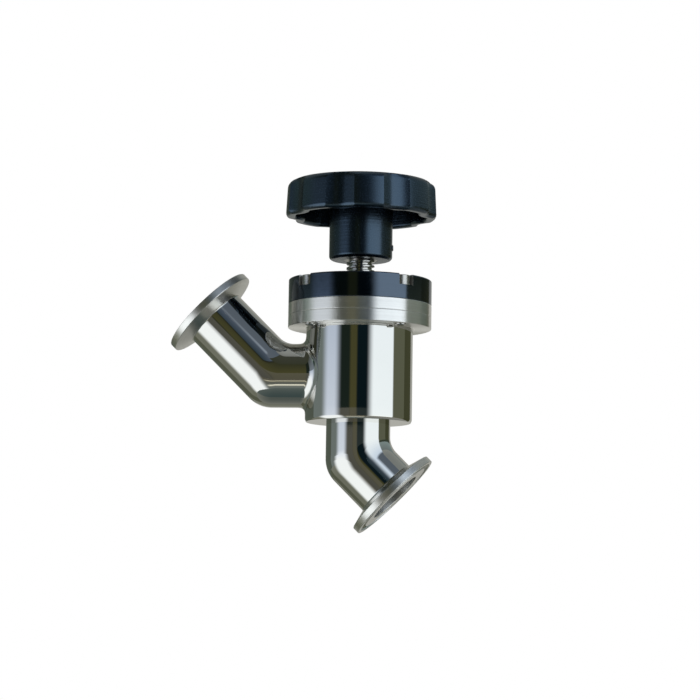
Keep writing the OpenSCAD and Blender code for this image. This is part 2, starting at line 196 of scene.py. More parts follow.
class WheelSizes(bpy.types.PropertyGroup):
    """Sizes of the handwheel, its bush and its pin."""

    wheel: length("Wheel", "Outside diameter of the handwheel over its lobes", 0.0753)
    wheel_height: length("Rim height", "Height of the handwheel's rim", 0.0177)
    crown: length("Crown", "Rise of the handwheel's top in its middle", 0.0012)
    rim: length("Rim", "Thickness of the rim's wall", 0.0052)
    web: length("Web", "Thickness of the web above the hollow", 0.0034)
    flare: length("Flare", "How much wider the rim is at its foot than at its top", 0.0009)
    top_round: length("Top round", "Rounding of the rim's upper edge", 0.0034)
    foot_round: length("Foot round", "Rounding of the rim's lower edge", 0.0022)
    hollow_round: length("Hollow round", "Rounding of the hollow's edge", 0.0016)
    flute: length("Flute", "Depth of the flutes between the lobes", 0.0026)
    lobes: bpy.props.IntProperty(
        name="Lobes", description="Number of lobes on the rim", default=8, min=3
    )
    hub: length("Hub", "Outside diameter of the hub", 0.0315)
    hub_round: length("Hub round", "Rounding of the hub's lower edge", 0.0019)
    bush: length("Bush", "Outside diameter of the steel bush", 0.017)
    grip: length("Grip", "Depth of the bush in the hub", 0.025)


class FinishColours(bpy.types.PropertyGroup):
    """Colours of the finishes."""

    polished: colour("Polished steel", "Mirror-polished stainless steel", (0.66, 0.655, 0.63))
    satin: colour("Satin steel", "Turned stainless steel", (0.8, 0.795, 0.77))
    ring: colour("Ring steel", "Turned flange and ring", (0.9, 0.895, 0.875))
    screw: colour("Screw steel", "Screws, spindle and bush", (0.6, 0.59, 0.565))
    anodised: colour("Black anodised", "The bonnet", (0.087, 0.113, 0.149))
    plastic: colour("Black plastic", "The handwheel", (0.0018, 0.003, 0.0048))
    diaphragm: colour("Diaphragm", "The moulded diaphragm", (0.7, 0.68, 0.63))
    wiper: colour("Wiper", "The wiper ring on the spindle", (0.02, 0.02, 0.021))
    bronze: colour("Bronze", "Nut and thrust washer", (0.56, 0.38, 0.19))


class StudioSettings(bpy.types.PropertyGroup):
    """The stage, its light and the camera."""

    floor_level: bpy.props.FloatProperty(
        name="Floor level", description="Level of the studio floor", default=-0.12, unit="LENGTH"
    )
    floor_radius: length("Floor radius", "Radius of the studio floor", 0.9)
    dome: length("Dome", "Distance of the glowing cards round the object", 1.5)
    lamp_height: length("Lamp height", "Height of the overhead lamp above the floor", 1.2)
    lamp_size: length("Lamp size", "Diameter of the overhead lamp", 1.2)
    lamp_power: bpy.props.FloatProperty(
        name="Lamp power", description="Power of the overhead lamp", default=14, min=0, unit="POWER"
    )
    lens: bpy.props.FloatProperty(
        name="Lens", description="Focal length of the camera", default=133.05, unit="CAMERA"
    )
    distance: length("Distance", "From the camera to its aim", 1.287)
    azimuth: angle("Azimuth", "Turn of the camera to the right", 5.71)
    elevation: angle("Elevation", "Height of the camera over its aim", -6.62)
    roll: angle("Roll", "Tilt of the camera", 0.86)
    aim: bpy.props.FloatVectorProperty(
        name="Aim", description="Point in the middle of the picture", subtype="XYZ", unit="LENGTH",
        default=(-0.02364, 0.00197, 0.0733), precision=5
    )


def select_only(*pieces):
    """Leaves edit mode and selects just these pieces, with the first of them active."""
    if bpy.context.mode != "OBJECT":
        bpy.ops.object.mode_set(mode="OBJECT")
    bpy.ops.object.select_all(action="DESELECT")
    for piece in pieces:
        piece.select_set(True)
    if pieces:
        bpy.context.view_layer.objects.active = pieces[0]


def begin(name, add, **settings):
    """Adds a primitive with nothing else selected, and opens it for editing."""
    select_only()
    add(**settings)
    bpy.ops.object.transform_apply(location=True, rotation=True, scale=True)
    piece = bpy.context.object
    piece.name = name
    piece.data.name = name
    bpy.ops.object.mode_set(mode="EDIT")
    bpy.ops.mesh.select_all(action="SELECT")
    return piece


def pick(piece, test):
    """Selects the vertices of the open piece whose places pass a test."""
    bpy.ops.mesh.select_mode(type="VERT")
    bpy.ops.mesh.select_all(action="DESELECT")
    mesh = bmesh.from_edit_mesh(piece.data)
    for vertex in mesh.verts:
        if test(vertex.co):
            vertex.select_set(True)
    mesh.select_flush_mode()
    bmesh.update_edit_mesh(piece.data)


def reshape(piece, move):
    """Puts each vertex of the open piece where a function moves it."""
    mesh = bmesh.from_edit_mesh(piece.data)
    for vertex in mesh.verts:
        vertex.co = move(vertex.co.copy())
    bmesh.update_edit_mesh(piece.data)


def knit():
    """Merges the open piece's doubled vertices and turns its faces outwards."""
    bpy.ops.mesh.select_mode(type="VERT")
    bpy.ops.mesh.select_all(action="SELECT")
    bpy.ops.mesh.remove_doubles(threshold=KNIT_GAP)
    bpy.ops.mesh.normals_make_consistent(inside=False)


def turned(name, corners, origin, axis=UP, side=OUT, steps=192):
    """Turns an outline on a lathe. Its corners are radius, height along the axis and rounding."""
    points = [origin + side * radius + axis * height for radius, height, rounding in corners]
    path = points if corners[0][0] == 0 else points + points[:1]
    piece = begin(name, bpy.ops.mesh.primitive_plane_add, size=0.001)
    bpy.ops.mesh.merge(type="CENTER")
    bpy.ops.transform.translate(value=path[0])
    for here, there in zip(path, path[1:]):
        bpy.ops.mesh.extrude_region_move(TRANSFORM_OT_translate={"value": there - here})
    bpy.ops.mesh.select_all(action="SELECT")
    bpy.ops.mesh.remove_doubles(threshold=SAME_POINT)
    for index, corner in enumerate(points):
        rounding = corners[index][2]
        if rounding > 0:
            before = corner - points[index - 1]
            after = points[(index + 1) % len(points)] - corner
            bend = before.angle(after)
            pick(piece, lambda place: (place - corner).length < 2 * SAME_POINT)
            bpy.ops.mesh.bevel(
                offset=rounding * math.tan(bend / 2),
                segments=max(2, round(math.degrees(bend) / ROUNDING_STEP)),
                affect="VERTICES",
            )
    bpy.ops.mesh.select_all(action="SELECT")
    bpy.ops.mesh.spin(steps=steps, angle=FULL_TURN, center=origin, axis=axis)
    knit()
    return piece


def rolled(name, columns, rows, place):
    """Rolls a flat grid into a tube, with each vertex at the place of its turn and row."""
    piece = begin(
        name, bpy.ops.mesh.primitive_grid_add, x_subdivisions=columns, y_subdivisions=rows, size=1
    )

    def roll(flat):
        column = round((flat.x + 0.5) * columns) % columns
        return place(FULL_TURN * column / columns, round((flat.y + 0.5) * rows))

    reshape(piece, roll)
    knit()
    return piece


def apply_modifier(piece, kind, **settings):
    """Adds a modifier with these settings and applies it."""
    select_only(piece)
    modifier = piece.modifiers.new(kind.title(), kind)
    for setting, value in settings.items():
        setattr(modifier, setting, value)
    bpy.ops.object.modifier_apply(modifier=modifier.name)


def cut(piece, cutter):
    """Cuts one shape out of a piece."""
    apply_modifier(piece, "BOOLEAN", operation="DIFFERENCE", solver="EXACT", object=cutter)
    bpy.data.objects.remove(cutter)


def screw_reach():
    """From the spindle's axis to the axes of the screws."""
    scene = bpy.context.scene
    return scene.valve_body.flange / 2 - scene.valve_bonnet.screw_inset


def at_screws(piece):
    """Copies a piece to every screw's place, each copy with its own mesh."""
    count = bpy.context.scene.valve_bonnet.screw_count
    copies = [piece]
    while len(copies) < count:
        select_only(piece)
        bpy.ops.object.duplicate(linked=False)
        copies.append(bpy.context.object)
    for index, copy in enumerate(copies):
        turn = Matrix.Rotation((index + 0.5) * FULL_TURN / count, 4, "Z")
        copy.data.transform(Matrix.Translation(SPINDLE) @ turn @ Matrix.Translation(-SPINDLE))
    return copies


def cut_at_screws(piece, cutter):
    """Cuts the same shape out of a piece at every screw's place."""
    cutters = at_screws(cutter)
    select_only(*cutters)
    bpy.ops.object.join()
    cut(piece, cutter)


def screw_holes(piece, bottom, top):
    """Drills the screws' holes through a piece."""
    drill = begin(
        "drill", bpy.ops.mesh.primitive_cylinder_add, vertices=32, depth=top - bottom + 2 * OVERRUN,
        radius=bpy.context.scene.valve_bonnet.screw / 2 + 2 * SEAT_GAP,
        location=SPINDLE + OUT * screw_reach() + UP * (top + bottom) / 2
    )
    cut_at_screws(piece, drill)


def smoothed(piece):
    """Leaves edit mode, and smooths the faces up to the crisp edges."""
    select_only(piece)
    bpy.ops.object.shade_smooth_by_angle(angle=SMOOTH_ANGLE)
    apply_modifier(piece, "WEIGHTED_NORMAL", keep_sharp=True, weight=80)


def settle(piece, nodes, body, slot, *finishes):
    """Puts a finished piece in the stead of its CAD nodes."""
    smoothed(piece)
    for finish in finishes:
        piece.data.materials.append(finish)
    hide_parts(*nodes)
    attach(piece, body)


def refinish(piece, index, test):
    """Gives another of a piece's finishes to the faces whose middles pass a test."""
    for face in piece.data.polygons:
        if test(face.center):
            face.material_index = index


def feed(tree, node, values):
    """Sets a shader node's sockets, or links those whose value is another node's socket."""
    for socket, value in values.items():
        if isinstance(value, bpy.types.NodeSocket):
            tree.links.new(value, node.inputs[socket])
        else:
            node.inputs[socket].default_value = value


def add_node(tree, kind, values=None, **settings):
    """Adds a shader node with these settings, and feeds its sockets."""
    node = tree.nodes.new(kind)
    for setting, value in settings.items():
        setattr(node, setting, value)
    feed(tree, node, values or {})
    return node


def finish_named(name, make):
    """The material of this name, new if need be: make gives its shader's sockets their values."""
    material = bpy.data.materials.get(name)
    if material is None:
        material = bpy.data.materials.new(name)
        material.use_nodes = True
        tree = material.node_tree
        place = add_node(tree, "ShaderNodeTexCoord").outputs["Object"]
        feed(tree, tree.nodes["Principled BSDF"], make(tree, place, bpy.context.scene.valve_colours))
    return material


def noise(tree, place, scale, detail=2.0):
    """Grey noise at a scale per metre."""
    return add_node(tree, "ShaderNodeTexNoise", {
        "Vector": place, "Scale": scale, "Detail": detail, "Roughness": 0.5
    }).outputs["Fac"]


def spread(tree, value, least, most):
    """Maps the middle of a noise onto a range."""
    return add_node(tree, "ShaderNodeMapRange", {
        "Value": value, "From Min": 0.3, "From Max": 0.7, "To Min": least, "To Max": most
    }).outputs["Result"]


def mixed(tree, share, first, second):
    """Passes from one colour to another."""
    return add_node(tree, "ShaderNodeMix", {
        "Factor": share, "A": (*first, 1), "B": (*second, 1)
    }, data_type="RGBA").outputs["Result"]


def shades(tree, share, base, darker):
    """Passes between a darker shade of a colour and the colour."""
    return mixed(tree, share, [part * darker for part in base], base)


def bump(tree, height, distance, below=None):
    """Raises the surface by a height, over another bump if there is one."""
    values = {"Strength": 1.0, "Distance": distance, "Height": height}
    if below is not None:
        values["Normal"] = below
    return add_node(tree, "ShaderNodeBump", values).outputs["Normal"]


def lathe_marks(tree, place, centre, axis):
    """Radius and height about a lathe's axis, for marks that run round it."""
    kind = "ShaderNodeVectorMath"
    offset = add_node(tree, kind, {0: place, 1: centre}, operation="SUBTRACT").outputs["Vector"]
    height = add_node(tree, kind, {0: offset, 1: axis}, operation="DOT_PRODUCT").outputs["Value"]
    rise = add_node(tree, kind, {0: axis, "Scale": height}, operation="SCALE").outputs["Vector"]
    flat = add_node(tree, kind, {0: offset, 1: rise}, operation="SUBTRACT").outputs["Vector"]
    radius = add_node(tree, kind, {0: flat}, operation="LENGTH").outputs["Value"]
    return add_node(tree, "ShaderNodeCombineXYZ", {"X": radius, "Y": height}).outputs["Vector"]


def polished_steel():
    """Mirror polish with slight waves from the buffing wheel."""
    return finish_named("polished_steel_finish", lambda tree, place, colours: {
        "Metallic": 1.0,
        "Base Color": shades(tree, noise(tree, place, 40), colours.polished, 0.93),
        "Roughness": spread(tree, noise(tree, place, 350, 4.0), 0.02, 0.04),
        "Normal": bump(tree, noise(tree, place, 70), 0.000004),
    })


def turned_steel(tree, place, centre, axis, base, rough, depth):
    """Sockets of turned steel with fine marks from the lathe, this rough and this deep."""
    marks = lathe_marks(tree, place, centre, axis)
    fine = noise(tree, marks, 2600, 3.0)
    return {
        "Metallic": 1.0,
        "Base Color": shades(tree, spread(tree, fine, 0, 1), base, 0.92),
        "Roughness": spread(tree, noise(tree, marks, 900, 3.0), rough, rough + 0.05),
        "Normal": bump(tree, fine, depth),
    }


def ferrule_steel(name, centre, axis, rough):
    """Finely turned steel of a ferrule."""
    return finish_named(name, lambda tree, place, colours: turned_steel(
        tree, place, centre, axis, colours.satin, rough, depth=0.0000005
    ))


def flange_satin():
    """Satin of the flange and its ring, which smears what it mirrors across the turning marks."""
    return finish_named("satin_steel_finish", lambda tree, place, colours: {
        **turned_steel(tree, place, SPINDLE, UP, colours.ring, SATIN, depth=0.000012),
        "Anisotropic": 1.0,
        "Anisotropic Rotation": 0.25,
        "Tangent": add_node(
            tree, "ShaderNodeTangent", direction_type="RADIAL", axis="Z"
        ).outputs["Tangent"],
    })


def screw_steel(name="screw_steel_finish", rough=0.24):
    """Plain bright steel of screws, spindle and bush."""
    def make(tree, place, colours):
        grain = noise(tree, place, 1500, 3.0)
        return {
            "Metallic": 1.0,
            "Base Color": shades(tree, grain, colours.screw, 0.8),
            "Roughness": spread(tree, grain, rough, rough * 1.5),
            "Normal": bump(tree, noise(tree, place, 900), 0.00002),
        }

    return finish_named(name, make)


def black_anodised():
    """Turned aluminium under a hard black film."""
    def make(tree, place, colours):
        fine = noise(tree, lathe_marks(tree, place, SPINDLE, UP), 2200, 3.0)
        return {
            "Metallic": 1.0,
            "Base Color": shades(tree, fine, colours.anodised, 0.86),
            "Roughness": spread(tree, noise(tree, place, 500, 3.0), 0.09, 0.14),
            "Normal": bump(tree, fine, 0.000004),
        }

    return finish_named("black_anodised_finish", make)


def black_plastic():
    """Moulded plastic with a fine grain and faint marks of the turned mould."""
    def make(tree, place, colours):
        grain = noise(tree, place, 1700, 3.0)
        marks = noise(tree, lathe_marks(tree, place, SPINDLE, UP), 1300)
        return {
            "IOR": 1.6,
            "Specular IOR Level": 1.0,
            "Specular Tint": (0.48, 0.72, 1.0, 1),
            "Base Color": shades(tree, noise(tree, place, 120, 3.0), colours.plastic, 0.7),
            "Roughness": spread(tree, grain, 0.22, 0.28),
            "Normal": bump(tree, grain, 0.000008, below=bump(tree, marks, 0.00005)),
        }

    return finish_named("black_plastic_finish", make)


def soft_rubber(kind, rough):
    """Moulded rubber of the diaphragm or the wiper, with a matt skin."""
    def make(tree, place, colours):
        grain = noise(tree, place, 800, 4.0)
        return {
            "Base Color": shades(tree, noise(tree, place, 90), getattr(colours, kind), 0.88),
            "Roughness": spread(tree, grain, rough, rough + 0.15),
            "Normal": bump(tree, grain, 0.00003),
        }

    return finish_named(kind + "_rubber_finish", make)


def bronze():
    """Turned bronze, a little dulled."""
    def make(tree, place, colours):
        fine = noise(tree, lathe_marks(tree, place, SPINDLE, UP), 2400, 3.0)
        return {
            "Metallic": 1.0,
            "Base Color": shades(tree, noise(tree, place, 200, 4.0), colours.bronze, 0.8),
            "Roughness": spread(tree, fine, 0.22, 0.36),
            "Normal": bump(tree, fine, 0.00001),
        }

    return finish_named("bronze_finish", make)


def mount_at(name):
    """Place and direction of one of the part's mounts."""
    return Vector(MOUNTS[name]["pos_m"]), Vector(MOUNTS[name]["axis"])


def bent_pipe(name, start, vertex, end, begin_at):
    """Runs a pipe from start over a bend at vertex to end. begin_at shifts its first ring."""
    sizes = bpy.context.scene.valve_pipes
    radius = sizes.tube / 2
    inward = (vertex - start).normalized()
    outward = (end - vertex).normalized()
    bend = inward.angle(outward)
    across = inward.cross(outward).normalized()
    away = inward.cross(across).normalized()
    tilt = outward - inward
    toward = (tilt - inward * tilt.dot(inward)).normalized()
    arc_steps = 24
    run_in = (0.0, 0.5, 0.9, 0.985)
    run_out = (0.015, 0.1, 0.5, 1.0)

    def place(turn, row):
        spoke = away * math.cos(turn) * radius + across * math.sin(turn) * radius
        corner = vertex + spoke + inward * (away.dot(spoke) * math.tan(bend / 2))
        share = (1 + math.cos(turn)) / 2
        bend_radius = sizes.bend_inside + (sizes.bend_outside - sizes.bend_inside) * share
        reach = bend_radius * math.tan(bend / 2)
        arc_start = corner - inward * reach
        arc_end = corner + outward * reach
        if row < len(run_in):
            return begin_at(start + spoke).lerp(arc_start, run_in[row])
        if row > len(run_in) + arc_steps:
            last = arc_end + outward * (end - arc_end).dot(outward)
            return arc_end.lerp(last, run_out[row - len(run_in) - arc_steps - 1])
        turned_by = bend * (row - len(run_in)) / arc_steps
        centre = arc_start + toward * bend_radius
        sunk = centre - toward * bend_radius * math.cos(turned_by)
        return sunk + inward * bend_radius * math.sin(turned_by)

    piece = rolled(name, 128, len(run_in) + arc_steps + len(run_out), place)
    apply_modifier(piece, "SOLIDIFY", thickness=sizes.wall, offset=-1.0, use_even_offset=True)
    return piece


class BuildBody(bpy.types.Operator):
    """Turns the body with its flange, chamber and seat, and cuts the side port"""

    bl_idname = "valve.build_body"
    bl_label = "Body"

    def execute(self, context):
        sizes = context.scene.valve_body
        pipes = context.scene.valve_pipes
        outside = sizes.body / 2
        chamber = sizes.chamber / 2
        bottom = low("valve_body")
        top = high("valve_body")
        under = top - sizes.flange_thickness
        floor = bottom + sizes.floor
        bore = pipes.tube / 2 - pipes.wall
        rim = chamber + sizes.rim_land + SEAT_GAP
        port_margin = 0.0005
        lower_round = 0.0025
        chamber_lip = 0.0006
        chamber_corner = 0.001
        piece = turned("valve_body_turned", [
            (bore, bottom, CRISP),
            (outside - sizes.edge, bottom, CRISP),
            (outside, bottom + sizes.edge_height, lower_round),
            (outside, SIDE_LEVEL - pipes.tube / 2 - port_margin, 0),
            (outside, SIDE_LEVEL + pipes.tube / 2 + port_margin, 0),
            (outside, under, ROUND),
            (sizes.flange / 2, under, sizes.flange_edge),
            (sizes.flange / 2, top, sizes.flange_edge),
            (rim, top, CRISP),
            (rim, top - sizes.rim, CRISP),
            (chamber, top - sizes.rim, chamber_lip),
            (chamber, floor, chamber_corner),
            (bore + sizes.seat_land, floor, EASED),
            (bore, floor - sizes.seat_rise, ROUND),
        ], SPINDLE)
        screw_holes(piece, under, top)
        port = begin(
            "port", bpy.ops.mesh.primitive_cylinder_add, vertices=128, radius=pipes.tube / 2 + SEAT_GAP,
            depth=sizes.body, rotation=(0, math.pi / 2, 0),
            location=SPINDLE + UP * SIDE_LEVEL - OUT * sizes.body / 2
        )
        cut(piece, port)
        settle(piece, ("valve_body",), "valve", "polished_steel", polished_steel(), flange_satin())
        refinish(piece, 1, lambda middle: (
            middle.z > under - HAIR and (middle - SPINDLE - UP * middle.z).length > outside + 2 * SLACK
        ))
        return {"FINISHED"}


class BuildBranches(bpy.types.Operator):
    """Bends the two branches and grinds the fillet between the side branch and the body"""

    bl_idname = "valve.build_branches"
    bl_label = "Branches"

    def execute(self, context):
        sizes = context.scene.valve_pipes
        body = context.scene.valve_body
        centre = SPINDLE + UP * SIDE_LEVEL
        under = SPINDLE + UP * low("valve_body")
        chamber = body.chamber / 2

        def at_chamber(point):
            return Vector((SPINDLE.x - math.sqrt(chamber ** 2 - point.y ** 2), point.y, point.z))

        for name, mount, nodes, start, across, begin_at in (
            ("side_branch", "inlet_bore", ("side_elbow",), centre, UP, at_chamber),
            ("outlet_branch", "outlet_bore", ("outlet_tube", "outlet_elbow"), under, OUT, Vector.copy),
        ):
            face, axis = mount_at(mount)
            vertex = face - axis * ((face - start).dot(across) / axis.dot(across))
            piece = bent_pipe(name, start, vertex, face - axis * sizes.ferrule_length, begin_at)
            settle(piece, nodes, "valve", "polished_steel", polished_steel())

        pipe_radius = sizes.tube / 2 + SEAT_GAP
        body_radius = body.body / 2 + SEAT_GAP
        curve_steps = 16
        fullness = 0.0002

        def on_saddle(radius, turn):
            sideways = radius * math.sin(turn)
            return centre + Vector((
                -math.sqrt(body_radius ** 2 - sideways ** 2), sideways, radius * math.cos(turn)
            ))

        def place(turn, row):
            corner = on_saddle(pipe_radius, turn)
            on_pipe = corner - OUT * sizes.weld
            if row > curve_steps:
                return corner if row == curve_steps + 1 else on_pipe
            on_body = on_saddle(pipe_radius + sizes.weld, turn)
            share = row / curve_steps
            point = on_pipe * (1 - share) ** 2 + corner * 2 * share * (1 - share) + on_body * share ** 2
            return point - OUT * fullness * share * (1 - share)

        weld = rolled("side_weld_ground", 128, curve_steps + 2, place)
        settle(weld, ("side_weld",), "valve", "polished_steel", polished_steel())
        return {"FINISHED"}


class BuildFerrules(bpy.types.Operator):
    """Turns the two clamp ferrules with their gasket grooves"""

    bl_idname = "valve.build_ferrules"
    bl_label = "Ferrules"

    def execute(self, context):
        sizes = context.scene.valve_pipes
        tube = sizes.tube / 2
        bore = tube - sizes.wall
        outside = sizes.ferrule / 2
        groove = sizes.groove / 2
        half = sizes.groove_width / 2
        groove_round = half * 0.9
        neck_round = 0.0008
        neck = -sizes.ferrule_rim - (outside - tube) * math.tan(sizes.ferrule_slope)
        for mount, node in (("inlet_bore", "side_ferrule"), ("outlet_bore", "outlet_ferrule")):
            face, axis = mount_at(mount)
            piece = turned(node + "_turned", [
                (bore, 0, EASED),
                (groove - half, 0, CRISP),
                (groove - half, -half, groove_round),
                (groove + half, -half, groove_round),
                (groove + half, 0, CRISP),
                (outside, 0, EASED),
                (outside, -sizes.ferrule_rim, ROUND),
                (tube, neck, neck_round),
                (tube, -sizes.ferrule_length, 0),
                (bore, -sizes.ferrule_length, 0),
            ], face, axis, Vector((0, 1, 0)))
            satin = ferrule_steel(node + "_satin", face, axis, SATIN)
            matt = ferrule_steel(node + "_matt", face, axis, MATT)
            settle(piece, (node,), "valve", "satin_steel", satin, polished_steel(), matt)

            def depth(middle):
                return (middle - face).dot(axis)

            def on_rim_or_bore(middle):
                radius = (middle - face - axis * depth(middle)).length
                return radius < bore + SLACK or radius > outside - SLACK

            refinish(piece, 1, lambda middle: depth(middle) < neck)
            refinish(piece, 2, on_rim_or_bore)
        return {"FINISHED"}


class BuildDiaphragm(bpy.types.Operator):
    """Moulds the diaphragm, which follows the compressor with its plug and the body with its rim"""

    bl_idname = "valve.build_diaphragm"
    bl_label = "Diaphragm"

    def execute(self, context):
        body = context.scene.valve_body
        pipes = context.scene.valve_pipes
        top = high("diaphragm")
        bottom = low("diaphragm")
        shoulder = top - 0.004
        neck = top - 0.012
        pad = bottom + 0.0036
        play = 0.0005
        bell = body.chamber / 2 - play
        guide = context.scene.valve_bonnet.guide / 2 + play
        rim = body.chamber / 2 + body.rim_land
        plug = pipes.tube / 2 - pipes.wall + body.seat_land - 2 * SEAT_GAP
        inside = plug - body.skin
        plug_slope = 0.003
        plug_round = 0.0015
        shoulder_round = 0.002
        outer_neck = 0.005
        inner_neck = 0.003
        pad_round = 0.0008
        piece = turned("diaphragm_moulded", [
            (0, bottom, 0),
            (plug - plug_slope, bottom, plug_round),
            (plug, bottom + plug_slope, plug_round),
            (plug, neck, outer_neck),
            (bell, shoulder, shoulder_round),
            (bell, top - body.rim, CRISP),
            (rim, top - body.rim, EASED),
            (rim, top, EASED),
            (guide, top, EASED),
            (guide, shoulder, shoulder_round),
            (inside, neck, inner_neck),
            (inside, pad, pad_round),
            (0, pad, 0),
        ], SPINDLE)
        smoothed(piece)
        piece.data.materials.append(soft_rubber("diaphragm", rough=0.38))
        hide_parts("diaphragm")
        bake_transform(piece)
        return {"FINISHED"}


class BuildBonnet(bpy.types.Operator):
    """Turns the clamp ring and the black bonnet, and mills the bonnet's screw slots"""

    bl_idname = "valve.build_bonnet"
    bl_label = "Ring and bonnet"

    def execute(self, context):
        body = context.scene.valve_body
        sizes = context.scene.valve_bonnet
        outside = body.flange / 2
        bottom = low("bonnet_ring")
        seam = high("bonnet_ring")
        top = high("bonnet")
        guide = sizes.guide / 2 + SEAT_GAP
        ring = turned("bonnet_ring_turned", [
            (guide, bottom, CRISP),
            (outside, bottom, body.flange_edge),
            (outside, seam, body.flange_edge),
            (guide, seam, CRISP),
        ], SPINDLE)
        screw_holes(ring, bottom, seam)
        settle(ring, ("bonnet_ring",), "valve", "satin_steel", flange_satin())

        ceiling = top - sizes.top
        guide = sizes.guide / 2 + 2 * SEAT_GAP
        nut_edge = 0.0001
        bonnet = turned("bonnet_milled", [
            (guide, seam, CRISP),
            (outside, seam, EASED),
            (outside, top, sizes.edge),
            (sizes.nut / 2, top, CRISP),
            (sizes.nut / 2, ceiling, nut_edge),
            (guide, ceiling, EASED),
        ], SPINDLE)
        screw_holes(bonnet, seam, top)
        reach = screw_reach()
        mill = begin(
            "mill", bpy.ops.mesh.primitive_cylinder_add, vertices=48, radius=sizes.slot / 2,
            depth=2 * sizes.slot_depth, location=SPINDLE + OUT * reach + UP * top
        )
        pick(mill, lambda place: place.x > SPINDLE.x + reach - HAIR)
        bpy.ops.transform.translate(value=OUT * sizes.slot)
        cut_at_screws(bonnet, mill)
        apply_modifier(
            bonnet, "BEVEL", width=0.00022, segments=3, limit_method="ANGLE",
            angle_limit=math.radians(50), harden_normals=False
        )
        milled = screw_steel("milled_slot_finish", rough=0.3)
        settle(bonnet, ("bonnet",), "valve", "black_anodised", black_anodised(), milled)
        pitch = FULL_TURN / sizes.screw_count

        def in_slot(middle):
            spoke = middle - SPINDLE
            turn = math.atan2(spoke.y, spoke.x) % pitch - pitch / 2
            radius = math.hypot(spoke.x, spoke.y)
            off_axis = math.hypot(min(radius * math.cos(turn) - reach, 0), radius * math.sin(turn))
            return middle.z > top - sizes.slot_depth - SLACK and off_axis < sizes.slot / 2 + SLACK

        refinish(bonnet, 1, in_slot)
        return {"FINISHED"}


class BuildScrews(bpy.types.Operator):
    """Makes one socket-head screw with its knurl and hexagon, and copies it round the bonnet"""

    bl_idname = "valve.build_screws"
    bl_label = "Cap screws"

    def execute(self, context):
        sizes = context.scene.valve_bonnet
        centre = SPINDLE + OUT * screw_reach()
        top = high("cap_screws")
        tip = low("cap_screws")
        seat = high("bonnet") - sizes.slot_depth
        head = sizes.screw_head / 2
        shank = sizes.screw / 2
        chamfer = 0.0005
        knurl_steps = 72
        knurl_depth = 0.00018
        knurl_from = seat + 0.0004
        knurl_to = top - 0.0007
        screw = turned("cap_screw", [
            (0, top, 0),
            (head, top, ROUND),
            (head, knurl_to, 0),
            (head, knurl_from, 0),
            (head, seat, CRISP),
            (shank, seat, CRISP),
            (shank, tip + chamfer, 0),
            (shank - chamfer, tip, 0),
            (0, tip, 0),
        ], centre, steps=knurl_steps)

        def knurl(place):
            spoke = place - centre
            spoke.z = 0
            outer = spoke.length > head - 2 * HAIR and knurl_from - SLACK < place.z < knurl_to + SLACK
            if outer and round(math.atan2(spoke.y, spoke.x) / FULL_TURN * knurl_steps) % 2:
                return place - spoke.normalized() * knurl_depth
            return place

        reshape(screw, knurl)
        socket = begin(
            "socket", bpy.ops.mesh.primitive_cylinder_add, vertices=6, radius=shank,
            depth=sizes.screw, location=centre + UP * top
        )
        cut(screw, socket)
        for copy in at_screws(screw):
            settle(copy, ("cap_screws",), "valve", "screw_steel", screw_steel())
        return {"FINISHED"}


class BuildSpindle(bpy.types.Operator):
    """Cuts the spindle's thread above its thrust collar"""

    bl_idname = "valve.build_spindle"
    bl_label = "Spindle"

    def execute(self, context):
        sizes = context.scene.valve_bonnet
        bottom = low("spindle")
        top = high("spindle")
        crest = sizes.spindle / 2
        root = sizes.spindle_root / 2
        collar = sizes.collar / 2
        shoulder = bottom + sizes.collar_height
        chamfer = 0.0004
        rings = [
            (0, bottom), (collar - chamfer, bottom), (collar, bottom + chamfer),
            (collar, shoulder - chamfer), (collar - chamfer, shoulder), (root, shoulder),
        ]
        rows_a_pitch = 18
        steps = math.ceil((top - shoulder) / sizes.pitch * rows_a_pitch)
        thread_from = shoulder + 0.0005
        thread_length = top - shoulder - 0.0006
        land = 0.32
        flank = 0.18

        def depth(share):
            """Share of the thread's depth at a share of its pitch."""
            if share < land:
                return 0.0
            if share < land + flank:
                return (share - land) / flank
            if share < 1 - flank:
                return 1.0
            return (1 - share) / flank

        def place(turn, row):
            spoke = Vector((math.cos(turn), math.sin(turn), 0))
            if row < len(rings):
                radius, level = rings[row]
                return SPINDLE + spoke * radius + UP * level
            step = row - len(rings)
            if step > steps:
                return SPINDLE + UP * top
            level = thread_from + thread_length * step / steps
            share = ((level - shoulder) / sizes.pitch - turn / FULL_TURN) % 1.0
            return SPINDLE + spoke * (root + (crest - root) * depth(share)) + UP * level

        piece = rolled("spindle_threaded", 96, len(rings) + steps + 1, place)
        rolled_steel = screw_steel("rolled_thread_finish", rough=0.13)
        settle(piece, ("spindle",), "handwheel", "screw_steel", rolled_steel)
        return {"FINISHED"}


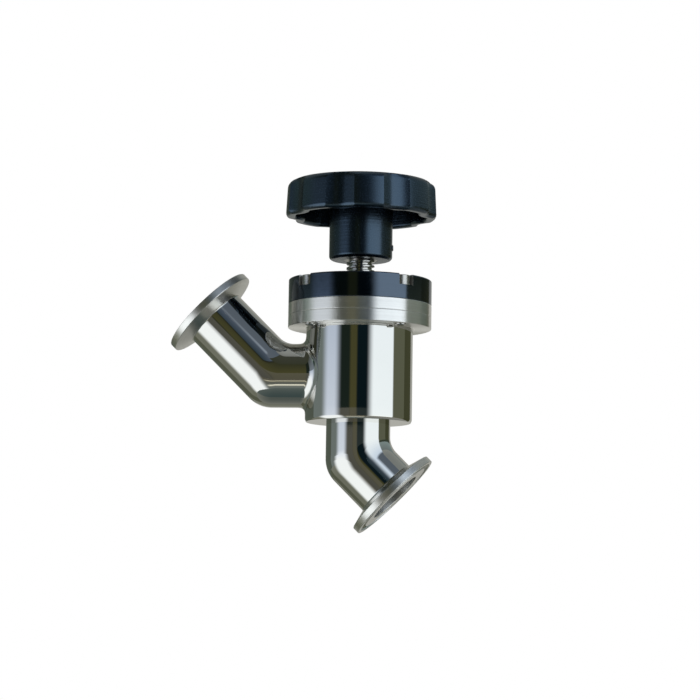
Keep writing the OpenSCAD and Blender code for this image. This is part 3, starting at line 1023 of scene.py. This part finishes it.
class BuildHandwheel(bpy.types.Operator):
    """Moulds the lobed handwheel with its hollow underside, and fits its bush and pin"""

    bl_idname = "valve.build_handwheel"
    bl_label = "Handwheel"

    def execute(self, context):
        sizes = context.scene.valve_wheel
        wheel = sizes.wheel / 2
        hub = sizes.hub / 2
        bush = sizes.bush / 2
        hub_bottom = low("handwheel")
        crown = high("handwheel")
        top = crown - sizes.crown
        rim_bottom = top - sizes.wheel_height
        web = top - sizes.web
        bush_top = hub_bottom + sizes.grip
        rim_inside = wheel - sizes.rim
        draft = 0.0008
        root_round = 0.0015
        web_round = 0.0025
        piece = turned("handwheel_moulded", [
            (0, bush_top, 0),
            (bush + SEAT_GAP, bush_top, 0),
            (bush + SEAT_GAP, hub_bottom, CRISP),
            (hub, hub_bottom, sizes.hub_round),
            (hub, web, root_round),
            (rim_inside - draft, web, web_round),
            (rim_inside, rim_bottom, sizes.hollow_round),
            (wheel, rim_bottom, sizes.foot_round),
            (wheel - sizes.flare, top, sizes.top_round),
            (hub, top + 0.75 * sizes.crown, 0),
            (bush, crown, 0),
            (0, crown, 0),
        ], SPINDLE, steps=320)
        fluted_from = hub + root_round
        fluted_to = rim_inside - draft - web_round
        pitch = FULL_TURN / sizes.lobes
        # A lobe stands 11.25 degrees to the right of the front.
        lobe_turn = math.radians(11.25 - 90)

        def press_flutes(place):
            spoke = place - SPINDLE
            spoke.z = 0
            share = min(1.0, max(0.0, (spoke.length - fluted_from) / (fluted_to - fluted_from)))
            climb = (place.z - top + sizes.top_round) / sizes.top_round
            if climb > 0 and place.z > web + HAIR:
                share = 1 - (math.asin(min(1.0, climb)) / (math.pi / 2)) ** 2
            turn = (math.atan2(spoke.y, spoke.x) - lobe_turn) % pitch - pitch / 2
            flute = max(0.0, 1 - (turn / (pitch / 4)) ** 2)
            if share * flute > 0:
                return place - spoke.normalized() * (share * sizes.flute * flute)
            return place

        reshape(piece, press_flutes)
        settle(piece, ("handwheel",), "handwheel", "black_plastic", black_plastic())

        inside = context.scene.valve_bonnet.spindle_root / 2 + SEAT_GAP
        ring = turned("hub_bush_turned", [
            (inside, hub_bottom, CRISP),
            (bush, hub_bottom, CRISP),
            (bush, bush_top, CRISP),
            (inside, bush_top, CRISP),
        ], SPINDLE, steps=96)
        settle(ring, ("hub_bush",), "handwheel", "screw_steel", screw_steel())

        left, right = BOX["hub_pin"]
        middle = Vector((0, 0, (left.z + right.z) / 2))
        radius = (right.z - left.z) / 2
        pin = turned("hub_pin_turned", [
            (0, left.x, 0),
            (radius, left.x, ROUND),
            (radius, right.x, ROUND),
            (0, right.x, 0),
        ], middle, OUT, UP, steps=48)
        settle(pin, ("hub_pin",), "handwheel", "black_anodised", black_anodised())
        return {"FINISHED"}


class FinishInnerParts(bpy.types.Operator):
    """Gives the parts inside the bonnet their finishes"""

    bl_idname = "valve.finish_inner_parts"
    bl_label = "Inner parts"

    def execute(self, context):
        finishes = {
            "compressor": flange_satin(),
            "diaphragm_stud": screw_steel(),
            "retaining_ring": screw_steel(),
            "guide_dowels": screw_steel(),
            "thrust_washer": bronze(),
            "spindle_nut": bronze(),
            "stem_wiper": soft_rubber("wiper", rough=0.45),
        }
        for node, finish in finishes.items():
            for slot in frame["nodes"][node].material_slots:
                slot.material = finish
        return {"FINISHED"}


def bearing(turn, rise):
    """Direction at a turn to the right of the front and a rise over the horizon."""
    return Vector((math.sin(turn) * math.cos(rise), -math.cos(turn) * math.cos(rise), math.sin(rise)))


def glowing(name, low_light, high_light, bottom, top, soft_from, soft_to):
    """Plain light from one colour at the bottom to another at the top, faded out at its sides."""
    material = bpy.data.materials.new(name)
    material.use_nodes = True
    tree = material.node_tree
    tree.nodes.clear()
    coordinates = add_node(tree, "ShaderNodeTexCoord")
    place = add_node(tree, "ShaderNodeSeparateXYZ", {"Vector": coordinates.outputs["Object"]})
    rise = add_node(tree, "ShaderNodeMapRange", {
        "Value": place.outputs["Z"], "From Min": bottom, "From Max": top
    })
    light = mixed(tree, rise.outputs["Result"], low_light, high_light)
    shown = add_node(tree, "ShaderNodeEmission", {"Color": light}).outputs["Emission"]
    across = add_node(tree, "ShaderNodeSeparateXYZ", {"Vector": coordinates.outputs["UV"]})
    for edge, inner in ((0, soft_from), (1, 1 - soft_to)):
        if edge != inner:
            fade = add_node(
                tree, "ShaderNodeMapRange",
                {"Value": across.outputs["X"], "From Min": edge, "From Max": inner},
                interpolation_type="SMOOTHSTEP"
            )
            clear = add_node(tree, "ShaderNodeBsdfTransparent")
            shown = add_node(tree, "ShaderNodeMixShader", {
                "Fac": fade.outputs["Result"], 1: clear.outputs["BSDF"], 2: shown
            }).outputs["Shader"]
    add_node(tree, "ShaderNodeOutputMaterial", {"Surface": shown})
    return material


def card(name, turn_from, turn_to, rise_from, rise_to, low_light, high_light, soft_from=0, soft_to=0):
    """Hangs a glowing card between two turns and two rises in degrees.

    A card with soft sides hangs a little in front of the others.
    """
    studio = bpy.context.scene.valve_studio
    middle = Vector(studio.aim)
    width = turn_to - turn_from
    height = rise_to - rise_from
    away = studio.dome * (SOFT_CARD_SHARE if soft_from + soft_to else 1.0)
    piece = begin(
        name, bpy.ops.mesh.primitive_grid_add, size=1,
        x_subdivisions=math.ceil(width / CARD_STEP), y_subdivisions=math.ceil(height / CARD_STEP)
    )
    reshape(piece, lambda flat: middle + away * bearing(
        math.radians(turn_from + width * (flat.x + 0.5)) + studio.azimuth,
        math.radians(rise_from + height * (flat.y + 0.5))
    ))
    bpy.ops.object.mode_set(mode="OBJECT")
    levels = [middle.z + away * math.sin(math.radians(level)) for level in (rise_from, rise_to)]
    piece.data.materials.append(
        glowing(name + "_light", low_light, high_light, *levels, soft_from / width, soft_to / width)
    )
    piece.visible_camera = False
    piece.visible_diffuse = False
    piece.visible_shadow = False


# Each card's name, its turns and rises from and to, its light at the bottom and at the top, and the
# widths of its soft sides. Angles are in degrees, and turns run to the right from the front.
CARDS = (
    ("below", -90, 90, -90, -50, (0.06, 0.09, 0.09), (0.13, 0.16, 0.15)),
    ("below_left", -180, -90, -90, -50, (0.1, 0.12, 0.11), (0.24, 0.25, 0.22)),
    ("below_right", 90, 180, -90, -50, (0.1, 0.12, 0.11), (0.24, 0.25, 0.22)),
    ("back_low", -180, -150, -50, -18, (0.2, 0.21, 0.17), (0.3, 0.31, 0.26)),
    ("back_left_low", -150, -125, -50, -18, (0.12, 0.13, 0.09), (0.12, 0.13, 0.09)),
    ("left_edge_low", -125, -46, -50, -18, (0.2, 0.21, 0.16), (0.26, 0.27, 0.22)),
    ("front_low", -46, 19, -50, -18, (0.2, 0.23, 0.22), (0.13, 0.12, 0.085)),
    ("right_low", 19, 180, -50, -18, (0.25, 0.26, 0.24), (0.35, 0.35, 0.32)),
    ("back_end", -180, -165, -18, 35, (0.5, 0.5, 0.46), (0.38, 0.38, 0.35)),
    ("back_left", -165, -112, -18, 35, (0.12, 0.14, 0.11), (0.09, 0.11, 0.09)),
    ("left_edge", -112, -60, -18, 9.2, (0.22, 0.25, 0.24), (0.2, 0.24, 0.23)),
    ("left_edge_middle", -112, -60, 9.2, 14, (0.03, 0.052, 0.045), (0.03, 0.052, 0.045)),
    ("left_edge_high", -112, -60, 14, 35, (0.22, 0.3, 0.26), (0.18, 0.22, 0.2)),
    ("left_dark_low", -60, -19, -18, 3.4, (0.1, 0.1, 0.083), (0.115, 0.115, 0.095)),
    ("left_dark", -60, -19, 3.4, 35, (0.014, 0.023, 0.018), (0.015, 0.02, 0.014)),
    ("middle_low", -19, 40, -18, 3.4, (0.04, 0.05, 0.05), (0.03, 0.042, 0.042)),
    ("middle_dark", -19, 40, 3.4, 16, (0.004, 0.011, 0.014), (0.006, 0.014, 0.02)),
    ("middle_brown", -19, -2, 16, 35, (0.02, 0.022, 0.014), (0.03, 0.032, 0.022)),
    ("middle_high", -2, 40, 16, 35, (0.02, 0.04, 0.05), (0.1, 0.13, 0.18)),
    ("olive", 40, 114, -18, 9.2, (0.15, 0.155, 0.1), (0.14, 0.15, 0.1)),
    ("olive_middle", 40, 146, 9.2, 14, (0.05, 0.065, 0.045), (0.05, 0.065, 0.045)),
    ("olive_high", 40, 77, 14, 35, (0.14, 0.15, 0.1), (0.14, 0.15, 0.1)),
    ("right_edge", 114, 146, -18, 9.2, (0.06, 0.065, 0.03), (0.07, 0.075, 0.04)),
    ("right_high", 77, 146, 14, 35, (0.28, 0.36, 0.36), (0.2, 0.24, 0.24)),
    ("back_right", 146, 180, -18, 35, (0.5, 0.5, 0.46), (0.38, 0.38, 0.35)),
    ("high_back_left", -180, -90, 35, 66, (0.3, 0.32, 0.3), (0.22, 0.24, 0.23)),
    ("high_left", -90, 5, 35, 66, (0.05, 0.055, 0.035), (0.06, 0.065, 0.05)),
    ("high_right", 5, 77, 35, 66, (0.14, 0.17, 0.21), (0.12, 0.15, 0.19)),
    ("high_back", 77, 180, 35, 66, (0.33, 0.35, 0.33), (0.2, 0.22, 0.22)),
    ("above", -180, 180, 66, 90, (0.24, 0.25, 0.24), (0.34, 0.36, 0.35)),
    ("left_low", -100, -30, -50, -10, (1.38, 1.44, 1.46), (1.36, 1.42, 1.46), 20, 16),
    ("left_middle", -95, -33, -10, -3, (1.36, 1.42, 1.46), (1.2, 1.28, 1.4), 20, 17),
    ("left_soft", -88, -36.5, -3, 8.6, (1.2, 1.28, 1.4), (0.6, 0.7, 0.88), 20, 18),
    ("left_high", -88, -42, 8.6, 35, (0.24, 0.28, 0.33), (0.08, 0.09, 0.08), 10, 10),
    ("brown_low", -23, -1, -18, 3.4, (0.12, 0.115, 0.08), (0.13, 0.125, 0.085), 7, 6),
    ("brown", -22, -2, 3.4, 35, (0.085, 0.082, 0.032), (0.045, 0.048, 0.025), 6, 5),
    ("front_strip", -34, 18, -43, -36.5, (0.2, 0.22, 0.2), (1.5, 1.45, 1.2), 8, 8),
    ("front_line", -34, 18, -27, -23, (0.16, 0.15, 0.11), (0.85, 0.8, 0.6), 8, 8),
    ("right_soft", 15.5, 80, -18, 11, (1.52, 1.6, 1.6), (1.22, 1.33, 1.42), 17, 4),
    ("right_soft_high", 12.5, 79, 11, 36, (1.22, 1.33, 1.42), (0.88, 1.03, 1.22), 17, 4),
    ("right_top", 12.5, 79, 36, 41, (0.85, 1.0, 1.2), (0.16, 0.19, 0.24), 17, 4),
)


class BuildStage(bpy.types.Operator):
    """Sets up the floor, the cards, the lamp and the camera"""

    bl_idname = "valve.build_stage"
    bl_label = "Stage"

    def execute(self, context):
        scene = context.scene
        studio = scene.valve_studio
        middle = Vector(studio.aim)
        middle.z = studio.floor_level

        floor = begin(
            "studio_floor", bpy.ops.mesh.primitive_circle_add, vertices=128, radius=studio.floor_radius,
            fill_type="NGON", location=middle
        )
        bpy.ops.object.mode_set(mode="OBJECT")
        pale = bpy.data.materials.new("studio_floor_pale")
        pale.use_nodes = True
        tree = pale.node_tree
        feed(tree, tree.nodes["Principled BSDF"], {
            "Base Color": (0.86, 0.86, 0.85, 1), "Roughness": 0.8
        })
        floor.data.materials.append(pale)
        floor.visible_glossy = False

        for settings in CARDS:
            card(*settings)

        lamp = bpy.data.lights.new("overhead_lamp", "AREA")
        lamp.shape = "DISK"
        lamp.size = studio.lamp_size
        lamp.energy = studio.lamp_power
        overhead = bpy.data.objects.new("overhead_lamp", lamp)
        overhead.location = middle + UP * studio.lamp_height
        overhead.visible_glossy = False
        scene.collection.objects.link(overhead)

        # The room is white where it is seen, and lights the valve with half of that.
        world = bpy.data.worlds.new("studio_world")
        scene.world = world
        world.use_nodes = True
        tree = world.node_tree
        rays = add_node(tree, "ShaderNodeLightPath")
        seen = rays.outputs["Is Camera Ray"]
        for kind in ("Is Glossy Ray", "Is Transmission Ray"):
            seen = add_node(
                tree, "ShaderNodeMath", {0: seen, 1: rays.outputs[kind]}, operation="MAXIMUM"
            ).outputs["Value"]
        level = add_node(tree, "ShaderNodeMapRange", {"Value": seen, "To Min": 0.5, "To Max": 1.0})
        feed(tree, tree.nodes["Background"], {
            "Color": (1, 1, 1, 1), "Strength": level.outputs["Result"]
        })

        lens = bpy.data.cameras.new("camera")
        lens.lens = studio.lens
        lens.sensor_width = 36
        lens.clip_start = 0.01
        camera = bpy.data.objects.new("camera", lens)
        scene.collection.objects.link(camera)
        back = bearing(studio.azimuth, studio.elevation)
        turn = back.to_track_quat("Z", "Y").to_matrix() @ Matrix.Rotation(studio.roll, 3, "Z")
        place = Vector(studio.aim) + back * studio.distance
        camera.matrix_world = Matrix.Translation(place) @ turn.to_4x4()
        scene.camera = camera
        scene.view_settings.view_transform = "Standard"
        return {"FINISHED"}


OPERATORS = (
    BuildBody,
    BuildBranches,
    BuildFerrules,
    BuildDiaphragm,
    BuildBonnet,
    BuildScrews,
    BuildSpindle,
    BuildHandwheel,
    FinishInnerParts,
    BuildStage,
)
SETTINGS = {
    "valve_pipes": PipeSizes,
    "valve_body": BodySizes,
    "valve_bonnet": BonnetSizes,
    "valve_wheel": WheelSizes,
    "valve_colours": FinishColours,
    "valve_studio": StudioSettings,
}


class ValvePanel(bpy.types.Panel):
    """Lists the valve's pieces and sizes"""

    bl_idname = "VIEW3D_PT_valve"
    bl_label = "Diaphragm Valve"
    bl_space_type = "VIEW_3D"
    bl_region_type = "UI"
    bl_category = "Valve"

    def draw(self, context):
        for operator in OPERATORS:
            self.layout.operator(operator.bl_idname)
        for name, group in SETTINGS.items():
            box = self.layout.box()
            box.label(text=group.__doc__)
            for size in group.__annotations__:
                box.prop(getattr(context.scene, name), size)


def register():
    for name, group in SETTINGS.items():
        bpy.utils.register_class(group)
        setattr(bpy.types.Scene, name, bpy.props.PointerProperty(type=group))
    for operator in OPERATORS:
        bpy.utils.register_class(operator)
    bpy.utils.register_class(ValvePanel)


def unregister():
    bpy.utils.unregister_class(ValvePanel)
    for operator in reversed(OPERATORS):
        bpy.utils.unregister_class(operator)
    for name, group in reversed(SETTINGS.items()):
        delattr(bpy.types.Scene, name)
        bpy.utils.unregister_class(group)


def main():
    register()
    bpy.ops.valve.build_body()
    bpy.ops.valve.build_branches()
    bpy.ops.valve.build_ferrules()
    bpy.ops.valve.build_diaphragm()
    bpy.ops.valve.build_bonnet()
    bpy.ops.valve.build_screws()
    bpy.ops.valve.build_spindle()
    bpy.ops.valve.build_handwheel()
    bpy.ops.valve.finish_inner_parts()
    bpy.ops.valve.build_stage()


if __name__ == "__main__":
    main()
